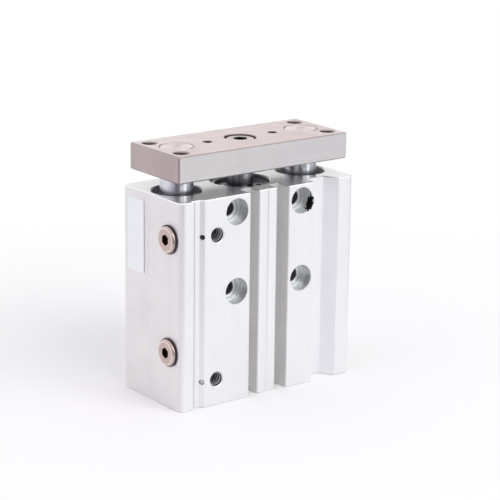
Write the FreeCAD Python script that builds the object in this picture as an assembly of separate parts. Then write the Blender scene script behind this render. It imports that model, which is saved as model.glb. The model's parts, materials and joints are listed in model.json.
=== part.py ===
import FreeCAD, Part
import math
import os

# Compact guided pneumatic cylinder, rod and plate retracted.
# Millimetres. X runs across the two guide rods, Y from the ported front face to the
# plain rear face, Z up the stroke. The origin is the centre of the bottom face.

vector = FreeCAD.Vector

# ---- driving sizes of the housing ----
stroke = 30.0
body_width = 64.0
body_depth = 30.0
body_corner_radius = 1.8
body_edge_chamfer = 0.3

# ---- cylinder bore and what is stacked in it, from the bottom up ----
bore_radius = 8.0
cover_seat_radius = 9.0
lower_ring_setback = 1.0
head_cover_thickness = 5.0
rear_bumper_thickness = 1.4
stop_clearance = 0.2
piston_length = 11.7
front_bumper_thickness = 1.4
rod_cover_nose_length = 1.4
rod_cover_flange_length = 7.7
upper_ring_setback = 0.8

# ---- retaining rings for the two covers ----
ring_thickness = 1.0
ring_groove_width = 1.1
ring_groove_depth = 0.5
ring_wide_side = 2.2
ring_narrow_side = 1.2
ring_ear_radius = 1.6
ring_ear_hole_radius = 0.85
ring_ear_inset = 2.9
ring_ear_half_angle = 49.0
upper_ring_gap_direction = -109.0
lower_ring_gap_direction = -90.0

# ---- piston, rod and their rings ----
piston_rod_radius = 4.0
piston_stud_radius = 2.5
piston_stud_seat_depth = 2.0
rivet_head_radius = 3.4
rivet_head_height = 0.9
piston_edge_chamfer = 0.8
magnet_height = 3.0
magnet_groove_radius = 6.0
magnet_radius = 7.6
piston_seal_height = 2.6
piston_seal_groove_radius = 5.6
piston_land_height = 1.6

# ---- rod cover inside ----
rod_cover_nose_radius = 6.8
rod_bush_length = 4.2
rod_bush_wall = 1.2
rod_seal_height = 2.8
rod_seal_radius = 6.2
rod_cover_lip_height = 0.9
o_ring_section_radius = 0.75
o_ring_corner = 0.45
front_bumper_inner_radius = 5.4
rear_bumper_radius = 5.5
rear_bumper_stem_radius = 1.5
rear_bumper_stem_length = 1.8

# ---- guide rods and bushes ----
guide_pitch = 46.0
guide_rod_radius = 5.0
guide_rod_setback = 1.5
guide_rod_end_chamfer = 1.0
guide_bore_radius = 6.75
guide_mouth_radius = 7.5
guide_mouth_depth = 2.5
mouth_chamfer = 0.35
upper_bush_length = 14.0
lower_bush_length = 10.0
lower_bush_overrun = 1.5

# ---- tooling plate ----
plate_gap = 5.0
plate_width = 62.0
plate_depth = 25.0
plate_thickness = 8.0
plate_edge_chamfer = 0.4
plate_hole_spacing_x = 54.0
plate_hole_spacing_y = 16.0
plate_pin_hole_spacing = 24.0
pin_hole_radius = 1.5
plate_pin_hole_depth = 5.0
centre_drill_radius = 0.9

# ---- socket screw that ties the plate to the piston rod ----
screw_shank_radius = 2.5
screw_head_radius = 4.25
screw_head_height = 5.0
screw_length = 10.0
screw_hex_across_flats = 4.0
screw_hex_depth = 2.5
screw_head_setback = 0.4
screw_head_clearance = 0.4
screw_shank_clearance = 0.25

# ---- threaded and plain mounting holes ----
thread_hole_radius = 2.1
thread_countersink = 0.4
mount_hole_spacing_x = 24.0
mount_hole_spacing_z = 24.0
mount_hole_from_top = 5.0
mount_hole_radius = 2.15
counterbore_radius = 4.0
counterbore_depth = 4.5
seat_edge_chamfer = 0.25
rear_pin_hole_depth = 6.0
base_hole_spacing_x = 24.0
base_hole_spacing_y = 22.0
base_hole_depth = 10.0

# ---- air ports, drilled ways and their plugs ----
port_offset = 19.0
port_depth = 6.0
upper_port_from_top = 11.0
lower_port_from_bottom = 8.0
drilled_way_radius = 0.8
drilled_way_angle = 42.0
ball_plug_depth = 0.7
side_port_from_front = 5.8
side_port_depth = 5.0
upper_side_port_from_top = 11.5
lower_side_port_from_bottom = 17.4
side_way_radius = 0.9
plug_flange_radius = 4.0
plug_flange_height = 0.95
plug_edge_fillet = 0.75
plug_hex_across_flats = 3.0
plug_hex_depth = 1.7
plug_thread_length = 4.2
plug_gasket_radius = 4.3
plug_gasket_thickness = 0.55

# ---- extruded grooves of the front and side faces ----
sensor_slot_width = 3.7
sensor_slot_depth = 5.0
sensor_rib_width = 6.7
sensor_rib_setback = 0.8
sensor_rib_mark_depth = 0.25
left_groove_from_side = 4.5
left_groove_floor_width = 2.9
left_groove_depth = 1.1
left_flank_width = 1.0
right_groove_from_side = 5.9
right_groove_floor_width = 6.75
right_groove_depth = 4.5
right_flank_width = 2.35
front_edge_radius = 0.4
side_valley_depth = 0.45
side_valley_front = 13.5
side_valley_bottom = 17.4
side_valley_rear = 19.6

# ---- blank label on the left side face ----
label_width = 8.2
label_height = 22.0
label_thickness = 0.1
label_from_top = 2.9
label_from_rear = 3.0

# ---- named clearances ----
running_clearance = 0.03
piston_clearance = 0.05
cover_clearance = 0.03
fit_clearance = 0.02
cut_margin = 1.0

# ---- heights worked out from the stack in the bore ----
head_cover_bottom = lower_ring_setback + ring_groove_width
head_cover_top = head_cover_bottom + head_cover_thickness
piston_bottom = head_cover_top + rear_bumper_thickness + stop_clearance
piston_top = piston_bottom + piston_length
rod_cover_bottom = piston_top + stroke + stop_clearance + front_bumper_thickness
rod_cover_shoulder = rod_cover_bottom + rod_cover_nose_length
rod_cover_top = rod_cover_shoulder + rod_cover_flange_length
body_height = rod_cover_top + ring_groove_width + upper_ring_setback
plate_bottom = body_height + plate_gap
plate_top = plate_bottom + plate_thickness

front_face = -body_depth / 2
rear_face = body_depth / 2
left_face = -body_width / 2
right_face = body_width / 2
guide_offset = guide_pitch / 2
upper_port_height = body_height - upper_port_from_top
upper_side_port_height = body_height - upper_side_port_from_top
mount_hole_top_height = body_height - mount_hole_from_top
mount_hole_low_height = mount_hole_top_height - mount_hole_spacing_z
side_port_y = front_face + side_port_from_front
screw_seat_height = plate_top - screw_head_setback - screw_head_height
upper_bush_top = body_height - guide_mouth_depth
lower_bush_bottom = guide_rod_setback + stroke + lower_bush_overrun


def cylinder(radius, start, end):
    """Solid cylinder from one point to another."""
    axis = end.sub(start)
    return Part.makeCylinder(radius, axis.Length, start, axis)


def rod_z(x, y, radius, bottom, top):
    return cylinder(radius, vector(x, y, bottom), vector(x, y, top))


def cone_z(x, y, bottom_radius, top_radius, bottom, top):
    return Part.makeCone(bottom_radius, top_radius, top - bottom, vector(x, y, bottom))


def cone_between(start_radius, end_radius, start, end):
    axis = end.sub(start)
    return Part.makeCone(start_radius, end_radius, axis.Length, start, axis)


def revolved(section, x=0.0, y=0.0):
    """Solid of revolution about a vertical axis, from (radius, height) points."""
    points = [vector(radius, 0, height) for radius, height in section]
    face = Part.Face(Part.makePolygon(points + points[:1]))
    solid = face.revolve(vector(0, 0, 0), vector(0, 0, 1), 360)
    solid.translate(vector(x, y, 0))
    return solid


def ring_z(x, y, inner_radius, outer_radius, bottom, top):
    section = [(inner_radius, bottom), (outer_radius, bottom), (outer_radius, top), (inner_radius, top)]
    return revolved(section, x, y)


def prism_z(outline, bottom, top):
    """Straight prism from (x, y) points."""
    points = [vector(x, y, bottom) for x, y in outline]
    face = Part.Face(Part.makePolygon(points + points[:1]))
    return face.extrude(vector(0, 0, top - bottom))


def hexagon(across_flats, centre, axis, length):
    """Hexagonal prism along an axis, two corners on the plane's own X direction."""
    corner_radius = across_flats / math.sqrt(3)
    plane = FreeCAD.Rotation(vector(0, 0, 1), axis)
    points = []
    for step in range(6):
        angle = math.radians(60 * step)
        corner = vector(corner_radius * math.cos(angle), corner_radius * math.sin(angle), 0)
        points.append(centre.add(plane.multVec(corner)))
    face = Part.Face(Part.makePolygon(points + points[:1]))
    return face.extrude(vector(axis).normalize().multiply(length))


def save(name, shape):
    shape.exportStep("parts/" + name + ".step")


def edges_at_height(shape, height):
    """Edges that lie wholly in one horizontal plane."""
    found = []
    for edge in shape.Edges:
        box = edge.BoundBox
        if abs(box.ZMin - height) < 1e-6 and abs(box.ZMax - height) < 1e-6:
            found.append(edge)
    return found


# ---- housing ----

def sensor_slots():
    """Two switch slots with a rib between them, set back and marked down its middle."""
    rib_half = sensor_rib_width / 2
    floor = front_face + sensor_slot_depth
    rib_front = front_face + sensor_rib_setback
    top = body_height + cut_margin
    cuts = []
    for side in (-1, 1):
        near = side * rib_half
        far = side * (rib_half + sensor_slot_width)
        mouth = front_face - cut_margin
        outline = [(near, mouth), (far, mouth), (far, floor), (near, floor)]
        cuts.append(prism_z(outline, -cut_margin, top))
    rib_outline = [
        (-rib_half - fit_clearance, front_face - cut_margin),
        (rib_half + fit_clearance, front_face - cut_margin),
        (rib_half + fit_clearance, rib_front),
        (sensor_rib_mark_depth, rib_front),
        (0, rib_front + sensor_rib_mark_depth),
        (-sensor_rib_mark_depth, rib_front),
        (-rib_half - fit_clearance, rib_front),
    ]
    cuts.append(prism_z(rib_outline, -cut_margin, top))
    return cuts


def left_groove():
    """Shallow groove with the sloped flank that the ball plugs are set in."""
    start = left_face + left_groove_from_side
    floor_end = start + left_groove_floor_width
    flank_end = floor_end + left_flank_width
    floor = front_face + left_groove_depth
    outline = [
        (start, front_face - cut_margin),
        (start, floor),
        (floor_end, floor),
        (flank_end, front_face),
        (flank_end, front_face - cut_margin),
    ]
    return prism_z(outline, -cut_margin, body_height + cut_margin)


def right_groove():
    """Deep open groove whose outer wall leans back."""
    flank_end = right_face - right_groove_from_side
    floor_end = flank_end - right_flank_width
    floor_start = floor_end - right_groove_floor_width
    floor = front_face + right_groove_depth
    outline = [
        (floor_start, front_face - cut_margin),
        (floor_start, floor),
        (floor_end, floor),
        (flank_end, front_face),
        (flank_end, front_face - cut_margin),
    ]
    return prism_z(outline, -cut_margin, body_height + cut_margin)


def side_valleys():
    """Soft shallow valley down the middle of each side face."""
    cuts = []
    for side in (-1, 1):
        face = side * body_width / 2
        outline = [
            (face, front_face + side_valley_front),
            (face - side * side_valley_depth, front_face + side_valley_bottom),
            (face, front_face + side_valley_rear),
        ]
        cuts.append(prism_z(outline, -cut_margin, body_height + cut_margin))
    return cuts


def front_edges(shape):
    """Upright edges where the slots and grooves open, and those of the rib between the slots."""
    found = []
    for edge in shape.Edges:
        box = edge.BoundBox
        upright = abs(box.ZLength - body_height) < 1e-6
        at_mouth = abs(box.YMin - front_face) < 1e-6
        inside = abs(box.XMin) < body_width / 2 - body_corner_radius - front_edge_radius
        on_rib = (abs(box.YMin - front_face - sensor_rib_setback) < 1e-6
                  and abs(abs(box.XMin) - sensor_rib_width / 2) < fit_clearance)
        if upright and (on_rib or (at_mouth and inside)):
            found.append(edge)
    return found


def extrusion():
    """The extruded profile, cut to length, with its end edges broken."""
    block = Part.makeBox(body_width, body_depth, body_height, vector(left_face, front_face, 0))
    uprights = [edge for edge in block.Edges if abs(edge.BoundBox.ZLength - body_height) < 1e-6]
    block = block.makeFillet(body_corner_radius, uprights)
    block = block.cut(sensor_slots() + [left_groove(), right_groove()] + side_valleys())
    block = block.makeFillet(front_edge_radius, front_edges(block))
    ends = edges_at_height(block, 0) + edges_at_height(block, body_height)
    return block.makeChamfer(body_edge_chamfer, ends)


def cylinder_bore():
    """Stepped bore with a cover seat and a retaining ring groove at each end."""
    seat_top = body_height + cut_margin
    groove_radius = cover_seat_radius + ring_groove_depth
    return [
        rod_z(0, 0, bore_radius, -cut_margin, seat_top),
        rod_z(0, 0, cover_seat_radius, -cut_margin, head_cover_top),
        rod_z(0, 0, cover_seat_radius, rod_cover_shoulder, seat_top),
        rod_z(0, 0, groove_radius, lower_ring_setback, lower_ring_setback + ring_groove_width),
        rod_z(0, 0, groove_radius, rod_cover_top, rod_cover_top + ring_groove_width),
        cone_z(0, 0, cover_seat_radius, cover_seat_radius + mouth_chamfer,
               body_height - mouth_chamfer, body_height),
        cone_z(0, 0, cover_seat_radius + mouth_chamfer, cover_seat_radius, 0, mouth_chamfer),
    ]


def guide_bores():
    cuts = []
    for side in (-1, 1):
        x = side * guide_offset
        cuts.append(rod_z(x, 0, guide_bore_radius, -cut_margin, body_height + cut_margin))
        cuts.append(rod_z(x, 0, guide_mouth_radius, upper_bush_top, body_height + cut_margin))
        cuts.append(cone_z(x, 0, guide_mouth_radius, guide_mouth_radius + mouth_chamfer,
                           body_height - mouth_chamfer, body_height))
        cuts.append(cone_z(x, 0, guide_bore_radius + mouth_chamfer, guide_bore_radius, 0, mouth_chamfer))
    return cuts


def mounting_holes():
    """Four holes drilled right through, counterbored at the front and tapped at the rear."""
    cuts = []
    seat = front_face + counterbore_depth
    for x in (-mount_hole_spacing_x / 2, mount_hole_spacing_x / 2):
        for z in (mount_hole_low_height, mount_hole_top_height):
            cuts.append(cylinder(counterbore_radius, vector(x, front_face - cut_margin, z),
                                 vector(x, seat, z)))
            cuts.append(cylinder(mount_hole_radius, vector(x, seat - cut_margin, z),
                                 vector(x, rear_face + cut_margin, z)))
            cuts.append(cone_between(mount_hole_radius + seat_edge_chamfer, mount_hole_radius,
                                     vector(x, seat, z), vector(x, seat + seat_edge_chamfer, z)))
            cuts.append(cone_between(mount_hole_radius, mount_hole_radius + thread_countersink,
                                     vector(x, rear_face - thread_countersink, z), vector(x, rear_face, z)))
    return cuts


def rear_pin_holes():
    """Two locating pin holes, midway between the rear threads."""
    height = (mount_hole_low_height + mount_hole_top_height) / 2
    floor = rear_face - rear_pin_hole_depth
    cuts = []
    for x in (-mount_hole_spacing_x / 2, mount_hole_spacing_x / 2):
        cuts.append(cylinder(pin_hole_radius, vector(x, floor, height),
                             vector(x, rear_face + cut_margin, height)))
    return cuts


def base_holes():
    cuts = []
    for x in (-base_hole_spacing_x / 2, base_hole_spacing_x / 2):
        for y in (-base_hole_spacing_y / 2, base_hole_spacing_y / 2):
            cuts.append(rod_z(x, y, thread_hole_radius, -cut_margin, base_hole_depth))
            cuts.append(cone_z(x, y, thread_hole_radius + thread_countersink, thread_hole_radius,
                               0, thread_countersink))
    return cuts


def drilled_way_start(height):
    """Middle of the left groove's sloped flank, where each drilled way begins."""
    x = left_face + left_groove_from_side + left_groove_floor_width + left_flank_width / 2
    return vector(x, front_face + left_groove_depth / 2, height)


def drilled_way_direction():
    angle = math.radians(drilled_way_angle)
    return vector(math.cos(angle), math.sin(angle), 0)


def front_port(height):
    """Threaded port, and the drilled way that crosses its bottom and opens in the bore."""
    x = -port_offset
    bottom = front_face + port_depth
    start = drilled_way_start(height)
    direction = drilled_way_direction()
    beside_bore_axis = -(start.x * direction.x + start.y * direction.y)
    mouth = start.sub(vector(direction).multiply(cut_margin))
    end = start.add(vector(direction).multiply(beside_bore_axis))
    return [
        cylinder(thread_hole_radius, vector(x, front_face - cut_margin, height), vector(x, bottom, height)),
        cone_between(thread_hole_radius + thread_countersink, thread_hole_radius,
                     vector(x, front_face, height), vector(x, front_face + thread_countersink, height)),
        cylinder(drilled_way_radius, mouth, end),
    ]


def side_port(height, front_port_height):
    """Plugged port in the left side face, joined to the front port's bottom."""
    bottom = left_face + side_port_depth
    way_end = vector(-port_offset, front_face + port_depth, front_port_height)
    return [
        cylinder(thread_hole_radius, vector(left_face - cut_margin, side_port_y, height),
                 vector(bottom, side_port_y, height)),
        cylinder(side_way_radius, vector(bottom - cut_margin, side_port_y, height), way_end),
    ]


def housing_body():
    cuts = cylinder_bore() + guide_bores() + mounting_holes() + rear_pin_holes() + base_holes()
    cuts += front_port(lower_port_from_bottom) + front_port(upper_port_height)
    cuts += side_port(lower_side_port_from_bottom, lower_port_from_bottom)
    cuts += side_port(upper_side_port_height, upper_port_height)
    return extrusion().cut(cuts)


# ---- end covers of the bore ----

def o_ring_groove_floor():
    return cover_seat_radius - 2 * o_ring_section_radius


def o_ring(centre_height):
    """O-ring as it sits squeezed: flat on its groove and its seat, its corners cut back."""
    half = o_ring_section_radius
    floor = o_ring_groove_floor()
    seat = cover_seat_radius
    section = [
        (floor, centre_height - half + o_ring_corner),
        (floor + o_ring_corner, centre_height - half),
        (seat - o_ring_corner, centre_height - half),
        (seat, centre_height - half + o_ring_corner),
        (seat, centre_height + half - o_ring_corner),
        (seat - o_ring_corner, centre_height + half),
        (floor + o_ring_corner, centre_height + half),
        (floor, centre_height + half - o_ring_corner),
    ]
    return revolved(section)


def rod_cover_gasket_height():
    return (rod_cover_shoulder + rod_cover_top) / 2


def head_cover_gasket_height():
    return (head_cover_bottom + head_cover_top) / 2


def rod_cover():
    """Turned cover with a nose, an O-ring groove, a bush seat and a seal pocket."""
    outer = cover_seat_radius - cover_clearance
    groove_low = rod_cover_gasket_height() - o_ring_section_radius
    groove_high = rod_cover_gasket_height() + o_ring_section_radius
    bush_radius = piston_rod_radius + rod_bush_wall
    seal_top = rod_cover_top - rod_cover_lip_height
    seal_bottom = seal_top - rod_seal_height
    throat = piston_rod_radius + screw_shank_clearance
    section = [
        (bush_radius, rod_cover_bottom),
        (rod_cover_nose_radius, rod_cover_bottom),
        (rod_cover_nose_radius, rod_cover_shoulder),
        (outer, rod_cover_shoulder),
        (outer, groove_low),
        (o_ring_groove_floor(), groove_low),
        (o_ring_groove_floor(), groove_high),
        (outer, groove_high),
        (outer, rod_cover_top),
        (throat + rod_cover_lip_height / 2, rod_cover_top),
        (throat, rod_cover_top - rod_cover_lip_height / 2),
        (throat, seal_top),
        (rod_seal_radius, seal_top),
        (rod_seal_radius, seal_bottom),
        (throat, seal_bottom),
        (throat, rod_cover_bottom + rod_bush_length),
        (bush_radius, rod_cover_bottom + rod_bush_length),
    ]
    return revolved(section)


def rod_bush():
    inner = piston_rod_radius + running_clearance
    outer = piston_rod_radius + rod_bush_wall
    return ring_z(0, 0, inner, outer, rod_cover_bottom, rod_cover_bottom + rod_bush_length)


def rod_seal():
    """Lip seal, open towards the pressure below."""
    top = rod_cover_top - rod_cover_lip_height
    bottom = top - rod_seal_height
    inner = piston_rod_radius + running_clearance
    middle = (inner + rod_seal_radius) / 2
    lip = (rod_seal_radius - inner) / 4
    section = [
        (inner, top),
        (rod_seal_radius, top),
        (rod_seal_radius, bottom),
        (middle + lip, bottom),
        (middle, bottom + rod_seal_height / 2),
        (middle - lip, bottom),
        (inner, bottom),
    ]
    return revolved(section)


def front_bumper():
    return ring_z(0, 0, front_bumper_inner_radius, rod_cover_nose_radius,
                  rod_cover_bottom - front_bumper_thickness, rod_cover_bottom)


def head_cover():
    outer = cover_seat_radius - cover_clearance
    groove_low = head_cover_gasket_height() - o_ring_section_radius
    groove_high = head_cover_gasket_height() + o_ring_section_radius
    section = [
        (0, head_cover_bottom),
        (outer, head_cover_bottom),
        (outer, groove_low),
        (o_ring_groove_floor(), groove_low),
        (o_ring_groove_floor(), groove_high),
        (outer, groove_high),
        (outer, head_cover_top),
        (rear_bumper_stem_radius, head_cover_top),
        (rear_bumper_stem_radius, head_cover_top - rear_bumper_stem_length),
        (0, head_cover_top - rear_bumper_stem_length),
    ]
    return revolved(section)


def rear_bumper():
    """Cushion disc with a stem that plugs into the head cover."""
    section = [
        (0, head_cover_top - rear_bumper_stem_length),
        (rear_bumper_stem_radius, head_cover_top - rear_bumper_stem_length),
        (rear_bumper_stem_radius, head_cover_top),
        (rear_bumper_radius, head_cover_top),
        (rear_bumper_radius, head_cover_top + rear_bumper_thickness),
        (0, head_cover_top + rear_bumper_thickness),
    ]
    return revolved(section)


def retaining_ring(bottom, gap_direction):
    """Internal retaining ring: tapered width, open gap and two pierced ears."""
    top = bottom + ring_thickness
    outer = cover_seat_radius + ring_groove_depth - fit_clearance
    inner = outer - (ring_wide_side + ring_narrow_side) / 2
    shift = (ring_wide_side - ring_narrow_side) / 2
    ear_circle = cover_seat_radius - ring_ear_inset
    gap_half = math.radians(ring_ear_half_angle) - ring_ear_radius / ear_circle
    reach = 2 * outer
    ring = rod_z(0, 0, outer, bottom, top).cut(rod_z(shift, 0, inner, bottom, top))
    wedge = [(0, 0), (reach, -reach * math.tan(gap_half)), (reach, reach * math.tan(gap_half))]
    ring = ring.cut(prism_z(wedge, bottom, top))
    rim = rod_z(0, 0, outer, bottom, top)
    ears = []
    holes = []
    for side in (-1, 1):
        angle = side * math.radians(ring_ear_half_angle)
        along = vector(math.cos(angle), math.sin(angle), 0)
        across = vector(-along.y, along.x, 0).multiply(ring_ear_radius)
        centre = vector(along).multiply(ear_circle)
        far = vector(along).multiply(outer)
        corners = [centre.add(across), far.add(across), far.sub(across), centre.sub(across)]
        neck = prism_z([(corner.x, corner.y) for corner in corners], bottom, top)
        ears.append(rod_z(centre.x, centre.y, ring_ear_radius, bottom, top))
        ears.append(neck.common(rim))
        holes.append(rod_z(centre.x, centre.y, ring_ear_hole_radius, bottom, top))
    ring = ring.fuse(ears).cut(holes).removeSplitter()
    ring.rotate(vector(0, 0, 0), vector(0, 0, 1), gap_direction)
    return ring


# ---- guide bushes, plugs and label ----

def guide_bush(x, bottom, length):
    inner = guide_rod_radius + running_clearance
    lead = (guide_bore_radius - inner) / 4
    top = bottom + length
    section = [
        (inner, bottom + lead),
        (inner + lead, bottom),
        (guide_bore_radius, bottom),
        (guide_bore_radius, top),
        (inner + lead, top),
        (inner, top - lead),
    ]
    return revolved(section, x)


def port_plug(height):
    """Hex socket plug: threaded shank, domed flange seated on its gasket."""
    seat = left_face - plug_gasket_thickness
    face = seat - plug_flange_height
    flange = cylinder(plug_flange_radius, vector(seat, side_port_y, height),
                      vector(face, side_port_y, height))
    rim = [edge for edge in flange.Edges if abs(edge.BoundBox.XMax - face) < 1e-6]
    flange = flange.makeFillet(plug_edge_fillet, rim)
    shank = cylinder(thread_hole_radius - fit_clearance, vector(seat, side_port_y, height),
                     vector(left_face + plug_thread_length, side_port_y, height))
    socket = hexagon(plug_hex_across_flats, vector(face, side_port_y, height), vector(1, 0, 0),
                     plug_hex_depth)
    return flange.fuse(shank).cut(socket)


def plug_gasket(height):
    seat = left_face - plug_gasket_thickness
    outer_side = vector(seat, side_port_y, height)
    housing_side = vector(left_face, side_port_y, height)
    disc = cylinder(plug_gasket_radius, outer_side, housing_side)
    return disc.cut(cylinder(thread_hole_radius, outer_side, housing_side))


def ball_plug(height):
    """Steel ball pressed into the mouth of a drilled way."""
    centre = drilled_way_start(height).add(drilled_way_direction().multiply(ball_plug_depth))
    return Part.makeSphere(drilled_way_radius, centre)


def label():
    corner = vector(left_face - label_thickness, rear_face - label_from_rear - label_width,
                    body_height - label_from_top - label_height)
    return Part.makeBox(label_thickness, label_width, label_height, corner)


# ---- moving carriage ----

def tooling_plate():
    """Plate with counterbored centre hole, rod seats, four threads and two pin holes."""
    plate = Part.makeBox(plate_width, plate_depth, plate_thickness,
                         vector(-plate_width / 2, -plate_depth / 2, plate_bottom))
    plate = plate.makeChamfer(plate_edge_chamfer, plate.Edges)
    head_hole = screw_head_radius + screw_head_clearance
    cuts = [
        rod_z(0, 0, head_hole, screw_seat_height, plate_top + cut_margin),
        cone_z(0, 0, head_hole, head_hole + mouth_chamfer, plate_top - mouth_chamfer, plate_top),
        rod_z(0, 0, screw_shank_radius + screw_shank_clearance, plate_bottom - cut_margin, screw_seat_height),
    ]
    for x in (-guide_offset, guide_offset):
        cuts.append(rod_z(x, 0, guide_rod_radius, plate_bottom - cut_margin, plate_top + cut_margin))
        cuts.append(cone_z(x, 0, guide_rod_radius, guide_rod_radius + mouth_chamfer,
                           plate_top - mouth_chamfer, plate_top))
    for x in (-plate_hole_spacing_x / 2, plate_hole_spacing_x / 2):
        for y in (-plate_hole_spacing_y / 2, plate_hole_spacing_y / 2):
            cuts.append(rod_z(x, y, thread_hole_radius, plate_bottom - cut_margin, plate_top + cut_margin))
            cuts.append(cone_z(x, y, thread_hole_radius, thread_hole_radius + thread_countersink,
                               plate_top - thread_countersink, plate_top))
            cuts.append(cone_z(x, y, thread_hole_radius + thread_countersink, thread_hole_radius,
                               plate_bottom, plate_bottom + thread_countersink))
    for x in (-plate_pin_hole_spacing / 2, plate_pin_hole_spacing / 2):
        cuts.append(rod_z(x, 0, pin_hole_radius, plate_top - plate_pin_hole_depth, plate_top + cut_margin))
    return plate.cut(cuts)


def guide_rod(x):
    """Guide rod pressed through the plate and flush with it, centre drilled at the top."""
    section = [
        (0, guide_rod_setback),
        (guide_rod_radius - guide_rod_end_chamfer, guide_rod_setback),
        (guide_rod_radius, guide_rod_setback + guide_rod_end_chamfer),
        (guide_rod_radius, plate_top - mouth_chamfer),
        (guide_rod_radius - mouth_chamfer, plate_top),
        (centre_drill_radius, plate_top),
        (0, plate_top - centre_drill_radius),
    ]
    return revolved(section, x)


def piston_rod():
    """Rod with a tapped upper end and a stud riveted over under the piston."""
    stud_shoulder = piston_top - piston_stud_seat_depth
    tap_bottom = screw_seat_height - screw_length - cut_margin
    tip = tap_bottom - thread_hole_radius / 2
    section = [
        (0, piston_bottom),
        (rivet_head_radius, piston_bottom),
        (piston_stud_radius, piston_bottom + rivet_head_height),
        (piston_stud_radius, stud_shoulder),
        (piston_rod_radius, stud_shoulder),
        (piston_rod_radius, plate_bottom - mouth_chamfer),
        (piston_rod_radius - mouth_chamfer, plate_bottom),
        (thread_hole_radius, plate_bottom),
        (thread_hole_radius, tap_bottom),
        (0, tip),
    ]
    return revolved(section)


def seal_groove_top():
    return piston_top - piston_stud_seat_depth - piston_land_height / 2


def piston():
    """Piston with a seal groove above and a magnet groove below, seated on the rod's stud."""
    outer = bore_radius - piston_clearance
    stud_shoulder = piston_top - piston_stud_seat_depth
    seal_top = seal_groove_top()
    seal_bottom = seal_top - piston_seal_height
    magnet_top = seal_bottom - piston_land_height
    magnet_bottom = magnet_top - magnet_height
    section = [
        (rivet_head_radius, piston_bottom),
        (outer - piston_edge_chamfer, piston_bottom),
        (outer, piston_bottom + piston_edge_chamfer),
        (outer, magnet_bottom),
        (magnet_groove_radius, magnet_bottom),
        (magnet_groove_radius, magnet_top),
        (outer, magnet_top),
        (outer, seal_bottom),
        (piston_seal_groove_radius, seal_bottom),
        (piston_seal_groove_radius, seal_top),
        (outer, seal_top),
        (outer, piston_top - piston_edge_chamfer),
        (outer - piston_edge_chamfer, piston_top),
        (piston_rod_radius, piston_top),
        (piston_rod_radius, stud_shoulder),
        (piston_stud_radius, stud_shoulder),
        (piston_stud_radius, piston_bottom + rivet_head_height),
    ]
    return revolved(section)


def piston_seal():
    """Double lipped ring, waisted between its lips."""
    top = seal_groove_top()
    bottom = top - piston_seal_height
    middle = (top + bottom) / 2
    outer = bore_radius - running_clearance
    waist = (outer + piston_seal_groove_radius) / 2
    section = [
        (piston_seal_groove_radius, bottom),
        (waist, bottom),
        (outer, bottom + piston_seal_height / 4),
        (waist, middle),
        (outer, top - piston_seal_height / 4),
        (waist, top),
        (piston_seal_groove_radius, top),
    ]
    return revolved(section)


def piston_magnet():
    magnet_top = seal_groove_top() - piston_seal_height - piston_land_height
    return ring_z(0, 0, magnet_groove_radius, magnet_radius, magnet_top - magnet_height, magnet_top)


def rod_screw():
    """Hex socket head cap screw, sunk in the plate and threaded into the piston rod."""
    head_top = screw_seat_height + screw_head_height
    head = rod_z(0, 0, screw_head_radius, screw_seat_height, head_top)
    head = head.makeFillet(screw_shank_clearance, edges_at_height(head, head_top))
    thread_radius = thread_hole_radius - fit_clearance
    thread_end = screw_seat_height - screw_length
    shank = rod_z(0, 0, screw_shank_radius, plate_bottom + fit_clearance, screw_seat_height)
    thread = rod_z(0, 0, thread_radius, thread_end, plate_bottom + fit_clearance)
    socket = hexagon(screw_hex_across_flats, vector(0, 0, head_top), vector(0, 0, -1), screw_hex_depth)
    return head.fuse([shank, thread]).cut(socket)


os.makedirs("parts", exist_ok=True)

save("body", housing_body())
save("rod_cover", rod_cover())
save("rod_bush", rod_bush())
save("rod_seal", rod_seal())
save("rod_cover_gasket", o_ring(rod_cover_gasket_height()))
save("rod_cover_retaining_ring", retaining_ring(rod_cover_top, upper_ring_gap_direction))
save("front_bumper", front_bumper())
save("head_cover", head_cover())
save("head_cover_gasket", o_ring(head_cover_gasket_height()))
save("head_cover_retaining_ring",
     retaining_ring(head_cover_bottom - ring_thickness, lower_ring_gap_direction))
save("rear_bumper", rear_bumper())

for side_name, side_x in (("left", -guide_offset), ("right", guide_offset)):
    save("guide_bush_upper_" + side_name,
         guide_bush(side_x, upper_bush_top - upper_bush_length, upper_bush_length))
    save("guide_bush_lower_" + side_name, guide_bush(side_x, lower_bush_bottom, lower_bush_length))
    save("guide_rod_" + side_name, guide_rod(side_x))

for level_name, plug_height, ball_height in (
    ("upper", upper_side_port_height, upper_port_height),
    ("lower", lower_side_port_from_bottom, lower_port_from_bottom),
):
    save("port_plug_" + level_name, port_plug(plug_height))
    save("plug_gasket_" + level_name, plug_gasket(plug_height))
    save("ball_plug_" + level_name, ball_plug(ball_height))

save("label", label())
save("tooling_plate", tooling_plate())
save("piston_rod", piston_rod())
save("piston", piston())
save("piston_seal", piston_seal())
save("piston_magnet", piston_magnet())
save("rod_screw", rod_screw())
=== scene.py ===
import json
import math
import bpy
from mathutils import Matrix, Vector


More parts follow.
